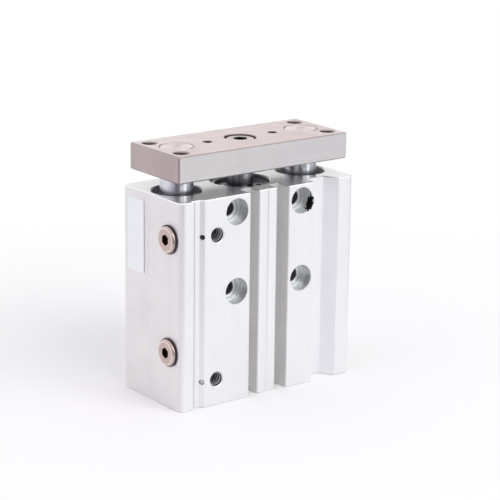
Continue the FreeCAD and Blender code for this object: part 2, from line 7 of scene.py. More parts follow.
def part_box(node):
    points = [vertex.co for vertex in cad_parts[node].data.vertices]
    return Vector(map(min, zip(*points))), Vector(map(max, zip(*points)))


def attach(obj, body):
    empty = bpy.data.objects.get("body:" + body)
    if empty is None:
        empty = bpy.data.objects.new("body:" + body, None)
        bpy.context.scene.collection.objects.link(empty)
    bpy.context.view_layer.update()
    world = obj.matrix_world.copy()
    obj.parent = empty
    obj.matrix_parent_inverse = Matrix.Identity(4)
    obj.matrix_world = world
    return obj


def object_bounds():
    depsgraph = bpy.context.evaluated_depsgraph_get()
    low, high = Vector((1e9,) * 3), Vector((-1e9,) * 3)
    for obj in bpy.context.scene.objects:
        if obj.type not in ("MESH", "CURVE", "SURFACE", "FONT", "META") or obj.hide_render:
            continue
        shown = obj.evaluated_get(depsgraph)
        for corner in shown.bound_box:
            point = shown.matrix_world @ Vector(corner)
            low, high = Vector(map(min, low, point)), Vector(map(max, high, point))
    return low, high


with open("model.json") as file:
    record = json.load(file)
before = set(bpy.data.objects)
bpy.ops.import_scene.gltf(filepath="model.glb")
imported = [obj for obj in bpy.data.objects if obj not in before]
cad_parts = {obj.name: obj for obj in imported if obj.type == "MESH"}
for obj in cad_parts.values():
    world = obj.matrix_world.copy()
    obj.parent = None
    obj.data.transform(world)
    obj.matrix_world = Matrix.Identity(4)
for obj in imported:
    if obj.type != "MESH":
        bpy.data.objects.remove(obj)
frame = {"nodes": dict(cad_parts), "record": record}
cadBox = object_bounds()
nodes = frame["nodes"]
mounts = {mount["name"]: mount for mount in frame["record"]["mounts"]}
mm = 0.001
lip = 0.03   # mm below a face where the inside of a hole starts
noiseSpan = (0.35, 0.65)   # noise stays near a half, so this much of it is stretched to 0 and 1
print("frame loaded:", len(nodes), "parts")


def srgb(hexColour):  # "#rrggbb" to the linear colour that a socket takes
    channels = []
    for start in (1, 3, 5):
        value = int(hexColour[start:start + 2], 16) / 255
        channels.append(value / 12.92 if value <= 0.04045 else ((value + 0.055) / 1.055) ** 2.4)
    return (*channels, 1.0)


def addNode(tree, kind, inputs=None, **settings):
    node = tree.nodes.new(kind)
    for name, value in settings.items():
        setattr(node, name, value)
    for socket, value in (inputs or {}).items():
        if isinstance(value, bpy.types.NodeSocket):
            tree.links.new(value, node.inputs[socket])
        else:
            node.inputs[socket].default_value = value
    return node


def maths(tree, operation, *values):  # one sum of numbers or sockets
    return addNode(tree, "ShaderNodeMath", dict(enumerate(values)), operation=operation).outputs[0]


mixSockets = {"RGBA": (6, 7, 2), "FLOAT": (2, 3, 0)}   # a mix node's two inputs and output, by kind


def blend(tree, kind, factor, first, second):
    firstSocket, secondSocket, output = mixSockets[kind]
    mix = addNode(tree, "ShaderNodeMix", {
        0: factor, firstSocket: first, secondSocket: second}, data_type=kind)
    return mix.outputs[output]


def startMaterial(name):  # empty, with object coordinates in millimetres
    material = bpy.data.materials.new(name)
    material.use_nodes = True
    tree = material.node_tree
    tree.nodes.clear()
    place = addNode(tree, "ShaderNodeTexCoord")
    scaled = addNode(tree, "ShaderNodeMapping", {
        "Vector": place.outputs["Object"], "Scale": (1 / mm, 1 / mm, 1 / mm)})
    return material, tree, scaled.outputs["Vector"]


def corners(name):  # lowest and highest corner of a part, in millimetres
    return [Vector(corner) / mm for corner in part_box(name)]


def middleOf(name):
    low, high = corners(name)
    return (low + high) / 2


def grain(tree, coords, pitch, stretch=(1, 1, 1), detail=4):  # soft noise, drawn out along an axis
    drawn = addNode(tree, "ShaderNodeMapping", {"Vector": coords, "Scale": stretch})
    noise = addNode(tree, "ShaderNodeTexNoise", {
        "Vector": drawn.outputs["Vector"], "Scale": 1 / pitch, "Detail": detail, "Roughness": 0.6})
    return noise.outputs["Fac"]


def holePlace(tree, coords, mouth, axis, spacing=(0, 0, 0)):
    # distance to the nearest axis of equal holes set evenly about a mouth, and depth below it
    outward = Vector(axis)
    centred = addNode(tree, "ShaderNodeVectorMath", {0: coords, 1: mouth}, operation="SUBTRACT")
    depth = addNode(tree, "ShaderNodeVectorMath", {
        0: centred.outputs[0], 1: -outward}, operation="DOT_PRODUCT")
    folded = addNode(tree, "ShaderNodeVectorMath", {0: centred.outputs[0]}, operation="ABSOLUTE")
    offset = addNode(tree, "ShaderNodeVectorMath", {
        0: folded.outputs[0], 1: Vector(spacing) / 2}, operation="SUBTRACT")
    across = [1 - abs(value) for value in outward]
    flat = addNode(tree, "ShaderNodeVectorMath", {0: offset.outputs[0], 1: across}, operation="MULTIPLY")
    distance = addNode(tree, "ShaderNodeVectorMath", {0: flat.outputs[0]}, operation="LENGTH")
    return distance.outputs["Value"], depth.outputs["Value"]


def within(tree, distance, depth, radius, start, end):  # 1 inside a hole, between two depths
    near = maths(tree, "LESS_THAN", distance, radius)
    middle = maths(tree, "COMPARE", depth, (start + end) / 2, (end - start) / 2)
    return maths(tree, "MULTIPLY", near, middle)


def turnedRings(tree, distance, depth, pitch):  # uneven rings round an axis, on its walls and seats
    along = maths(tree, "ADD", distance, depth)
    rings = addNode(tree, "ShaderNodeTexNoise", {
        "W": along, "Scale": 1 / pitch, "Detail": 2}, noise_dimensions="1D")
    return rings.outputs["Fac"]


def buildSurface(tree, coords, finish, zones):
    # each zone has a mask and a pattern, which shifts its colour, gloss and relief in mm
    drift = grain(tree, coords, finish["patchSize"])
    colour = rough = height = None
    for name, mask, pattern in zones:
        zone = finish[name]
        tone = blend(tree, "FLOAT", 0.5, drift, pattern)
        evened = addNode(tree, "ShaderNodeMapRange", {
            "Value": tone, "From Min": noiseSpan[0], "From Max": noiseSpan[1]}).outputs["Result"]
        shade = blend(tree, "RGBA", evened, srgb(zone["colours"][0]), srgb(zone["colours"][1]))
        gloss = addNode(tree, "ShaderNodeMapRange", {
            "Value": evened, "To Min": zone["rough"][0], "To Max": zone["rough"][1]}).outputs["Result"]
        relief = maths(tree, "MULTIPLY", pattern, zone["relief"])
        if mask is None:
            colour, rough, height = shade, gloss, relief
        else:
            colour = blend(tree, "RGBA", mask, colour, shade)
            rough = blend(tree, "FLOAT", mask, rough, gloss)
            height = blend(tree, "FLOAT", mask, height, relief)
    bump = addNode(tree, "ShaderNodeBump", {"Height": height, "Distance": mm, "Strength": 1.0})
    shader = addNode(tree, "ShaderNodeBsdfPrincipled", {
        "Base Color": colour, "Roughness": rough, "Metallic": finish["metallic"],
        "Normal": bump.outputs["Normal"]})
    addNode(tree, "ShaderNodeOutputMaterial", {"Surface": shader.outputs["BSDF"]})
    return shader


# Silver-anodised 6063 extrusion: an etched matt skin with faint die lines along its length,
# milled ends that mirror what is near, and holes with the drill's fine rings.
housingFinish = {
    "metallic": 0.65,          # the oxide scatters part of the light
    "patchSize": 9.0,          # mm
    "skin": {"colours": ("#f8f8f9", "#f3f3f5"), "rough": (0.42, 0.54), "relief": 0.005},
    # painted shade: the outer flanks get a darker, warmer copy of the skin
    "flanks": {"colours": ("#efedec", "#e8e6e5"), "rough": (0.46, 0.58), "relief": 0.004},
    # painted shade: the walls of the two channels get a darker copy of the skin
    "channels": {"colours": ("#efeeee", "#e7e6e6"), "rough": (0.42, 0.54), "relief": 0.004},
    # painted shade: a darker line along the foot of the left groove's wall
    "crease": {"colours": ("#dedee2", "#d4d4d8"), "rough": (0.5, 0.6), "relief": 0.004},
    # painted light: the floor of the right groove gets a lighter copy of the skin
    "sideGroove": {"colours": ("#fafafc", "#f5f5f8"), "rough": (0.56, 0.66), "relief": 0.004},
    "milled": {"colours": ("#e4e4e3", "#d8d8d8"), "rough": (0.13, 0.24), "relief": 0.0008},
    # painted highlight: the broken edges round each end are drawn white
    "broken": {"colours": ("#ffffff", "#fafafa"), "rough": (0.3, 0.4), "relief": 0.001},
    # painted light: the walls of the guide mouths are drawn pale, standing in for light falling into them
    "mouths": {"colours": ("#f8f8fa", "#b4b4b8"), "rough": (0.2, 0.35), "relief": 0.008},
    # painted shade: the cylinder bore's walls are drawn dark grey
    "bored": {"colours": ("#9c9c9f", "#747478"), "rough": (0.25, 0.4), "relief": 0.006},
    "drilled": {"colours": ("#f6f8f8", "#ccd0d0"), "rough": (0.26, 0.4), "relief": 0.008},
    # painted highlight: a white ring round each bolt hole's seat
    "rims": {"colours": ("#ffffff", "#f8f8f8"), "rough": (0.3, 0.4), "relief": 0.002},
    # painted shade: the bolts' through holes are drawn darker
    "boltHoles": {"colours": ("#b0a9ac", "#766f73"), "rough": (0.4, 0.6), "relief": 0.01},
    # painted shade: the port walls are drawn near black
    "portWalls": {"colours": ("#4c4b4e", "#38373a"), "rough": (0.4, 0.6), "relief": 0.002},
    "ink": {"colours": ("#0b0a0c", "#141215"), "rough": (0.3, 0.4), "relief": 0.004},
    "dieLinePitch": 0.5,       # mm, coarse enough that the lines show
    "cutterMarkPitch": 0.6,    # mm
    "cutterCentre": (48, 70, 0),   # mm that the face cutter's arcs are shifted by
    "drillRingPitch": 0.5,     # mm, coarse enough that the rings show
    "guideWallReach": 1.0,     # mm past the guide bush, to take in the wider mouth
    "boreWallReach": 0.7,      # mm past the cover's seal, to take in the ring groove
    "portFloorReach": 1.0,     # mm past the port's useful length
    "channelReach": 2.2,       # mm from the middle of each channel to past its walls
    "channelDepth": 8.0,
    "grooveAt": 10.45,         # mm from the side to the middle of the right groove
    "grooveWidth": 9.1,
    "counterboreRadius": 4.0,
    "flankDepth": 0.5,         # mm, deeper than the shallow valley in each side
    "foldAt": 5.55,            # mm from the side to the painted shade line in the left groove
    "foldWidth": 0.5,
    "edgeDepth": 0.31,         # mm of broken edge that is milled with each end
    "rimWidth": 0.4,           # mm of painted highlight round each bolt hole's seat
    "inkSpot": (14.25, -14.4, 57.1),   # mm, a dab of marking ink on the rim of one counterbore
    "inkRadius": 2.5,
    "inkWander": 2.4,          # mm over which the dab's edge strays
    "inkGrain": 1.1,           # lumps of that edge to a millimetre
}


def anodisedHousing(finish):
    material, tree, coords = startMaterial("aluminiumExtrudedAnodised")
    low, high = corners("body")
    middle = (low + high) / 2
    place = addNode(tree, "ShaderNodeSeparateXYZ", {"Vector": coords})
    fromMiddle = maths(tree, "SUBTRACT", place.outputs["Z"], middle.z)
    height = maths(tree, "ABSOLUTE", fromMiddle)
    ends = maths(tree, "GREATER_THAN", height, high.z - middle.z - finish["edgeDepth"])
    # painted highlight along the broken edges round each end
    brokenAt = high.z - middle.z - finish["edgeDepth"] / 2 - lip / 2
    broken = maths(tree, "COMPARE", height, brokenAt, finish["edgeDepth"] / 2 - lip / 2)

    # the counterbored holes and the ports of the front face
    holes = mounts["front_holes"]
    seat = Vector(holes["pos_m"]) / mm
    spacing = (holes["dims"]["spacing_x_mm"], 0, holes["dims"]["spacing_y_mm"])
    holeDistance, holeDepth = holePlace(tree, coords, (seat.x, low.y, seat.z), holes["axis"], spacing)
    sunk = seat.y - low.y
    boltRadius = holes["dims"]["hole_r_mm"] + lip
    drilled = within(tree, holeDistance, holeDepth, finish["counterboreRadius"] + lip, lip, sunk + lip)
    rims = within(tree, holeDistance, holeDepth, boltRadius + finish["rimWidth"], sunk - lip, sunk + lip)
    boltHoles = within(tree, holeDistance, holeDepth, boltRadius, sunk + lip, high.y - middle.y + sunk)
    drillRings = turnedRings(tree, holeDistance, holeDepth, finish["drillRingPitch"])

    # the guide bores and the cylinder bore, which open in the top
    guide = middleOf("guide_rod_right")
    guideDistance, guideDepth = holePlace(tree, coords, (0, 0, high.z), (0, 0, 1), (2 * guide.x, 0, 0))
    boreDistance, boreDepth = holePlace(tree, coords, (0, 0, high.z), (0, 0, 1))
    guideReach = corners("guide_bush_upper_right")[1].x - guide.x + finish["guideWallReach"]
    boreReach = corners("rod_cover_gasket")[1].x + finish["boreWallReach"]
    guideWalls = within(tree, guideDistance, guideDepth, guideReach, lip, high.z - low.z - lip)
    boreWalls = within(tree, boreDistance, boreDepth, boreReach, lip, high.z - low.z - lip)
    ports = [Vector(mounts[name]["pos_m"]) / mm for name in ("front_port_upper", "front_port_lower")]
    portMiddle = (ports[0].x, low.y, (ports[0].z + ports[1].z) / 2)
    portSpacing = (0, 0, ports[0].z - ports[1].z)
    portDistance, portDepth = holePlace(tree, coords, portMiddle, (0, -1, 0), portSpacing)
    portSizes = mounts["front_port_upper"]["dims"]
    portFloor = portSizes["length_mm"] + finish["portFloorReach"]
    portWalls = within(tree, portDistance, portDepth, portSizes["r_mm"] + lip, lip, portFloor)

    # outer flanks, painted darker and warmer as shade, and the walls of the two channels in the front face,
    # painted darker as shade
    out = maths(tree, "ABSOLUTE", place.outputs["X"])
    flanks = maths(tree, "GREATER_THAN", out, high.x - finish["flankDepth"])
    inFold = maths(tree, "COMPARE", place.outputs["X"], low.x + finish["foldAt"], finish["foldWidth"] / 2)
    slot = mounts["sensor_slot_right"]["pos_m"][0] / mm
    fromSlot = maths(tree, "COMPARE", out, slot, finish["channelReach"])
    channelMiddle = low.y + lip + finish["channelDepth"] / 2
    behind = maths(tree, "COMPARE", place.outputs["Y"], channelMiddle, finish["channelDepth"] / 2)
    # the channels mask carries painted shade in the recesses
    channels = maths(tree, "MULTIPLY", fromSlot, behind)
    crease = maths(tree, "MULTIPLY", inFold, behind)
    # the right groove's floor carries painted light
    nearGroove = maths(
        tree, "COMPARE", place.outputs["X"], high.x - finish["grooveAt"], finish["grooveWidth"] / 2)
    sideGroove = maths(tree, "MULTIPLY", nearGroove, behind)
    boreRings = turnedRings(tree, guideDistance, guideDepth, finish["drillRingPitch"])

    # a dab of ink with a ragged edge
    wander = Vector([finish["inkWander"]] * 3)
    ragged = addNode(tree, "ShaderNodeTexNoise", {"Vector": coords, "Scale": finish["inkGrain"], "Detail": 3})
    pushed = addNode(tree, "ShaderNodeVectorMath", {
        0: ragged.outputs["Color"], 1: wander, 2: coords}, operation="MULTIPLY_ADD")
    spot = Vector(finish["inkSpot"]) + wander / 2
    toSpot = addNode(tree, "ShaderNodeVectorMath", {0: pushed.outputs[0], 1: spot}, operation="DISTANCE")
    ink = maths(tree, "LESS_THAN", toSpot.outputs["Value"], finish["inkRadius"])

    dieLines = grain(tree, coords, finish["dieLinePitch"], (1, 1, 0.004), 5)
    sweep = addNode(tree, "ShaderNodeMapping", {"Vector": coords, "Location": finish["cutterCentre"]})
    # a wave texture repeats every pi / 10 at scale 1
    arcs = addNode(tree, "ShaderNodeTexWave", {
        "Vector": sweep.outputs["Vector"], "Scale": math.pi / (10 * finish["cutterMarkPitch"]),
        "Distortion": 1.5, "Detail": 3, "Detail Scale": 2.0}, wave_type="RINGS", rings_direction="Z")
    buildSurface(tree, coords, finish, [
        ("skin", None, dieLines),
        ("flanks", flanks, dieLines),
        ("channels", channels, dieLines),
        ("crease", crease, dieLines),
        ("sideGroove", sideGroove, dieLines),
        ("milled", ends, arcs.outputs["Fac"]),
        ("mouths", guideWalls, boreRings),
        ("bored", boreWalls, boreRings),
        ("broken", broken, dieLines),
        ("drilled", drilled, drillRings),
        ("rims", rims, drillRings),
        ("boltHoles", boltHoles, drillRings),
        ("portWalls", portWalls, drillRings),
        ("ink", ink, ragged.outputs["Fac"])])
    return material


# Steel plate, ground and then nickel plated: warm grey, low gloss, fine grinding lines one way.
# Its long sides are painted lighter and cooler and its short sides darker, as lit and shaded faces; its
# underside, broken edges and holes are painted darker as shade.
plateFinish = {
    "metallic": 0.85,
    "patchSize": 14.0,
    "top": {"colours": ("#d8c8c7", "#cabab9"), "rough": (0.28, 0.42), "relief": 0.0015},
    # painted light and shade: the long sides get a lighter, cooler copy and the short sides a darker copy of
    # the top
    "longSide": {"colours": ("#dddadb", "#d4d1d2"), "rough": (0.3, 0.42), "relief": 0.0015},
    "shortSide": {"colours": ("#bfb0af", "#b3a4a4"), "rough": (0.3, 0.42), "relief": 0.0015},
    # painted shade: the broken edges are drawn darker than the faces
    "broken": {"colours": ("#b9aead", "#ada3a2"), "rough": (0.35, 0.5), "relief": 0.0015},
    # painted shade: the underside is drawn dark grey
    "underside": {"colours": ("#8d8b8b", "#7f7d7e"), "rough": (0.3, 0.42), "relief": 0.003},
    # painted shade: the holes and the screw's counterbore are drawn dark
    "holes": {"colours": ("#5e534f", "#463d39"), "rough": (0.3, 0.5), "relief": 0.01},
    "screwSeat": 4.8,       # mm, just past the wall of the counterbore round the screw
    "pinHoleReach": 2.0,    # mm, just past the wall of each pin hole
    "linePitch": 0.35,      # mm, coarse enough that the lines show
    "edge": 0.41,           # mm of broken edge round each face
}


def groundPlate(finish):
    material, tree, coords = startMaterial("steelGroundNickelPlated")
    low, high = corners("tooling_plate")
    middle = (low + high) / 2
    lines = grain(tree, coords, finish["linePitch"], (0.01, 1, 1), 6)
    centred = addNode(tree, "ShaderNodeVectorMath", {0: coords, 1: middle}, operation="SUBTRACT")
    folded = addNode(tree, "ShaderNodeVectorMath", {0: centred.outputs[0]}, operation="ABSOLUTE")
    inset = addNode(tree, "ShaderNodeVectorMath", {
        0: high - middle, 1: folded.outputs[0]}, operation="SUBTRACT")
    fromFace = addNode(tree, "ShaderNodeSeparateXYZ", {"Vector": inset.outputs[0]})
    place = addNode(tree, "ShaderNodeSeparateXYZ", {"Vector": coords})
    masks = {}
    for name, axis in (("shortSide", "X"), ("longSide", "Y"), ("flat", "Z")):
        masks[name] = maths(tree, "LESS_THAN", fromFace.outputs[axis], lip)
    sides = maths(tree, "MAXIMUM", masks["shortSide"], masks["longSide"])
    faces = maths(tree, "MAXIMUM", sides, masks["flat"])
    # on the plate the broken edges carry painted shade
    broken = maths(tree, "SUBTRACT", 1.0, faces)
    underside = maths(tree, "LESS_THAN", place.outputs["Z"], low.z + lip)
    walls = []
    for pattern in ("plate_holes", "plate_pin_hole_right"):
        mount = mounts[pattern]
        mouth = Vector(mount["pos_m"]) / mm
        spacing = (mount["dims"].get("spacing_x_mm", 2 * mouth.x), mount["dims"].get("spacing_y_mm", 0), 0)
        distance, depth = holePlace(tree, coords, (0, 0, high.z), (0, 0, 1), spacing)
        radius = mount["dims"].get("hole_r_mm", finish["pinHoleReach"]) + lip
        walls.append(within(tree, distance, depth, radius, finish["edge"], high.z - low.z - lip))
    distance, depth = holePlace(tree, coords, (0, 0, high.z), (0, 0, 1))
    seat = within(tree, distance, depth, finish["screwSeat"], lip, high.z - low.z - lip)
    threaded = maths(tree, "MAXIMUM", walls[0], walls[1])
    holes = maths(tree, "MAXIMUM", threaded, seat)
    buildSurface(tree, coords, finish, [
        ("top", None, lines),
        ("broken", broken, lines),
        ("longSide", masks["longSide"], lines),
        ("shortSide", masks["shortSide"], lines),
        ("underside", underside, lines),
        ("holes", holes, lines)])
    return material


# Hard chrome on ground bar: a mirror across the bar, with hair-fine rings that draw each
# highlight out along it. The top faces are ground flush with the plate, and the fit shows
# there as a thin dark line.
chromeFinish = {
    "metallic": 1.0,
    "anisotropy": 0.92,
    "patchSize": 6.0,
    "bar": {"colours": ("#e4e5ea", "#d8dae1"), "rough": (0.17, 0.22), "relief": 0.0003},
    "face": {"colours": ("#e2d5d3", "#d5c8c6"), "rough": (0.26, 0.4), "relief": 0.0015},
    "joint": {"colours": ("#6b5f5b", "#4d4441"), "rough": (0.4, 0.6), "relief": 0.004},
    # painted shade: a darker disc where each end's centre drilling is
    "centre": {"colours": ("#b3a5a3", "#9d908e"), "rough": (0.4, 0.6), "relief": 0.004},
    "linePitch": 0.2,
    "jointWidth": 0.3,      # mm
    "centreRadius": 1.1,    # mm, painted shade over the centre drilling in each end
}


# The rod of the cylinder itself gets a darker grey copy of the chrome, as painted shade.
shadedRodFinish = dict(chromeFinish)
shadedRodFinish["bar"] = {"colours": ("#b8babf", "#a0a2a8"), "rough": (0.17, 0.22), "relief": 0.0003}


def chromedRod(name, finish):
    material, tree, coords = startMaterial(name)
    low, high = corners("guide_rod_right")
    middle = (low + high) / 2
    rings = grain(tree, coords, finish["linePitch"], (0.05, 0.05, 1))
    lines = grain(tree, coords, plateFinish["linePitch"], (0.01, 1, 1), 6)
    distance, depth = holePlace(tree, coords, (0, 0, high.z), (0, 0, 1), (2 * middle.x, 0, 0))
    face = maths(tree, "LESS_THAN", depth, lip)
    rim = maths(tree, "GREATER_THAN", distance, high.x - middle.x - finish["jointWidth"])
    joint = maths(tree, "MULTIPLY", face, rim)
    centre = maths(tree, "LESS_THAN", distance, finish["centreRadius"])
    centre = maths(tree, "MULTIPLY", face, centre)
    shader = buildSurface(tree, coords, finish, [
        ("bar", None, rings), ("face", face, lines), ("joint", joint, lines), ("centre", centre, lines)])
    shader.inputs["Anisotropic"].default_value = finish["anisotropy"]
    shader.inputs["Anisotropic Rotation"].default_value = 0.25   # a quarter turn: along the bar
    around = addNode(tree, "ShaderNodeTangent", direction_type="RADIAL", axis="Z")
    tree.links.new(around.outputs["Tangent"], shader.inputs["Tangent"])
    return material


# Lathe-turned metals: fine rings round the part's own axis, and a socket painted dark as shade.
turnedFinishes = {
    "brassTurnedNickelPlated": {
        "metallic": 1.0, "patchSize": 3.0, "feed": 0.3,
        "turned": {"colours": ("#d2c0b9", "#bfaca5"), "rough": (0.18, 0.3), "relief": 0.004},
        # painted highlight: a bright line round the plug's rim
        "edge": {"colours": ("#efe0da", "#e2d1cb"), "rough": (0.14, 0.22), "relief": 0.001},
        "socketRadius": 1.75, "socketDepth": 4.0,   # mm
        "edgeInset": 0.6, "edgeWidth": 0.34,        # mm, the line of painted highlight on the rim
        # painted shade inside the hex socket
        "socket": {"colours": ("#7a6862", "#54463f"), "rough": (0.3, 0.5), "relief": 0.004}},
    "aluminiumTurned": {
        "metallic": 1.0, "patchSize": 4.0, "feed": 0.25,
        "turned": {"colours": ("#b9b9ba", "#a5a5a6"), "rough": (0.22, 0.36), "relief": 0.002}},
    "screwSteelForgedPlated": {
        "metallic": 1.0, "patchSize": 2.5, "feed": 0.35,
        "socketRadius": 2.5, "socketDepth": 4.0,    # mm
        "turned": {"colours": ("#cdc0be", "#b9adab"), "rough": (0.24, 0.38), "relief": 0.002},
        # painted shade inside the hex socket
        "socket": {"colours": ("#3a2f2d", "#2a2221"), "rough": (0.4, 0.6), "relief": 0.004}},
    "bearingSteelLapped": {
        "metallic": 1.0, "patchSize": 1.0, "feed": 0.2,
        "turned": {"colours": ("#cfcfd2", "#c2c2c6"), "rough": (0.05, 0.1), "relief": 0.0002}},
    "bearingSteelLacquered": {
        "metallic": 0.3, "patchSize": 0.6, "feed": 0.2,
        "turned": {"colours": ("#3a2229", "#22151a"), "rough": (0.2, 0.35), "relief": 0.002}},
    "bronzeSintered": {
        "metallic": 1.0, "patchSize": 1.2, "feed": 0.4,
        "turned": {"colours": ("#6b5a48", "#54463a"), "rough": (0.35, 0.55), "relief": 0.002}},
}


def turnedMetal(name, mouth, axis, headRadius=0):
    finish = turnedFinishes[name]
    material, tree, coords = startMaterial(name)
    distance, depth = holePlace(tree, coords, mouth, axis)
    rings = turnedRings(tree, distance, depth, finish["feed"])
    zones = [("turned", None, rings)]
    if headRadius:
        rimAt = headRadius - finish["edgeInset"]
        # painted highlight along the plug's rim
        rimHighlightBand = maths(tree, "COMPARE", distance, rimAt, finish["edgeWidth"] / 2)
        zones.append(("edge", rimHighlightBand, rings))
    # the socket zone is painted shade
    if "socket" in finish:
        sunk = within(tree, distance, depth, finish["socketRadius"], lip, finish["socketDepth"])
        zones.append(("socket", sunk, rings))
    buildSurface(tree, coords, finish, zones)
    return material


# Grainy materials, each with one soft noise for colour, gloss and relief.
grainyFinishes = {
    # blanked from strip and zinc plated: pale grey with a soft grain
    "springSteelBlanked": {
        "metallic": 1.0, "patchSize": 1.5, "grain": 0.25,
        "all": {"colours": ("#9d9b9a", "#868484"), "rough": (0.26, 0.42), "relief": 0.002}},
    # moulded seals: near black with a soft sheen and a faint grain
    "nitrileRubberMoulded": {
        "metallic": 0.0, "patchSize": 1.5, "grain": 0.15,
        "all": {"colours": ("#0b0a0b", "#131112"), "rough": (0.18, 0.3), "relief": 0.003}},
    # bonded magnet powder: dark grey, matt and granular
    "ferriteBonded": {
        "metallic": 0.0, "patchSize": 1.0, "grain": 0.12,
        "all": {"colours": ("#3a3836", "#302e2d"), "rough": (0.5, 0.7), "relief": 0.004}},
    # blank label: cool white satin film, rippled where it was rubbed down
    "polyesterFilmCoated": {
        "metallic": 0.0, "patchSize": 5.0, "grain": 2.5,
        "all": {"colours": ("#f4f8fa", "#f1f5f7"), "rough": (0.28, 0.34), "relief": 0.002}},
}


def grainy(name):
    finish = grainyFinishes[name]
    material, tree, coords = startMaterial(name)
    buildSurface(tree, coords, finish, [("all", None, grain(tree, coords, finish["grain"], detail=3))])
    return material


def dress(material, *nodeNames):
    for name in nodeNames:
        nodes[name].data.materials.clear()
        nodes[name].data.materials.append(material)


dress(anodisedHousing(housingFinish), "body")
dress(groundPlate(plateFinish), "tooling_plate")
dress(chromedRod("steelBarHardChromed", chromeFinish), "guide_rod_left", "guide_rod_right")
dress(chromedRod("steelBarHardChromedOiled", shadedRodFinish), "piston_rod")
for level in ("upper", "lower"):
    plug = "port_plug_" + level
    head = middleOf(plug)
    headRadius = corners(plug)[1].y - head.y
    head.x = corners(plug)[0].x
    dress(turnedMetal("brassTurnedNickelPlated", head, (-1, 0, 0), headRadius), plug)
boreTop = Vector((0, 0, corners("rod_cover")[1].z))
screwTop = Vector((0, 0, corners("rod_screw")[1].z))
dress(turnedMetal("aluminiumTurned", boreTop, (0, 0, 1)), "rod_cover", "head_cover", "piston")
dress(turnedMetal("screwSteelForgedPlated", screwTop, (0, 0, 1)), "rod_screw")
dress(turnedMetal("bearingSteelLacquered", middleOf("ball_plug_upper"), (0, -1, 0)), "ball_plug_upper")
dress(turnedMetal("bearingSteelLapped", middleOf("ball_plug_lower"), (0, -1, 0)), "ball_plug_lower")
for side in ("left", "right"):
    bush = "guide_bush_upper_" + side
    dress(turnedMetal("bronzeSintered", middleOf(bush), (0, 0, 1)), bush, "guide_bush_lower_" + side)
dress(turnedMetal("bronzeSintered", boreTop, (0, 0, 1)), "rod_bush")
dress(grainy("springSteelBlanked"), "rod_cover_retaining_ring", "head_cover_retaining_ring")
dress(grainy("nitrileRubberMoulded"), "rod_seal", "rod_cover_gasket", "head_cover_gasket", "front_bumper",
      "rear_bumper", "piston_seal", "plug_gasket_upper", "plug_gasket_lower")
dress(grainy("ferriteBonded"), "piston_magnet")
dress(grainy("polyesterFilmCoated"), "label")
print("finishes on:", len({node.data.materials[0].name for node in nodes.values()}))


# Threads: the solids have plain tap-drill holes, so each hole gets its thread's ridge.
threadValues = {
    "pitch": 0.8,          # mm, coarse pitch of this size
    "portPitch": 1.1,      # mm, the same thread drawn coarser in the ports, so that its turns show
    "ridgeHeight": 0.3,    # mm above the drilled wall
    "bite": 0.03,          # mm that the ridge is sunk in the wall
    "fullness": 0.96,      # width of the ridge's foot, as a share of the pitch
    "stepsPerTurn": 28,
    "mouthGap": 0.05,      # mm from the face to the first turn
    "creaseAngle": 30,     # degrees, so that the crest stays sharp
    "tearSize": 0.2,       # mm, grain of the torn metal left by the tap
}


# Cut threads: the crests are painted bright as highlight and the roots painted dark as shade.
threadFinishes = {
    "aluminiumTapped": {
        "metallic": 0.5, "patchSize": 0.8,
        "roots": {"colours": ("#343336", "#242326"), "rough": (0.4, 0.6), "relief": 0.004},
        "crests": {"colours": ("#dedee1", "#c6c6ca"), "rough": (0.26, 0.4), "relief": 0.004}},
    "steelTapped": {
        "metallic": 1.0, "patchSize": 0.8,
        "roots": {"colours": ("#2e2725", "#221c1b"), "rough": (0.4, 0.6), "relief": 0.004},
        "crests": {"colours": ("#6e625e", "#574d4a"), "rough": (0.25, 0.4), "relief": 0.004}},
}


def tappedThread(name, radius, middle, axis, spacing):
    finish = threadFinishes[name]
    material, tree, coords = startMaterial(name)
    distance, depth = holePlace(tree, coords, middle, axis, spacing)
    crest = radius - threadValues["ridgeHeight"]
    crests = addNode(tree, "ShaderNodeMapRange", {
        "Value": distance, "From Min": radius - 2 * lip, "From Max": crest + 3 * lip}).outputs["Result"]
    tear = grain(tree, coords, threadValues["tearSize"], detail=3)
    buildSurface(tree, coords, finish, [("roots", None, tear), ("crests", crests, tear)])
    return material


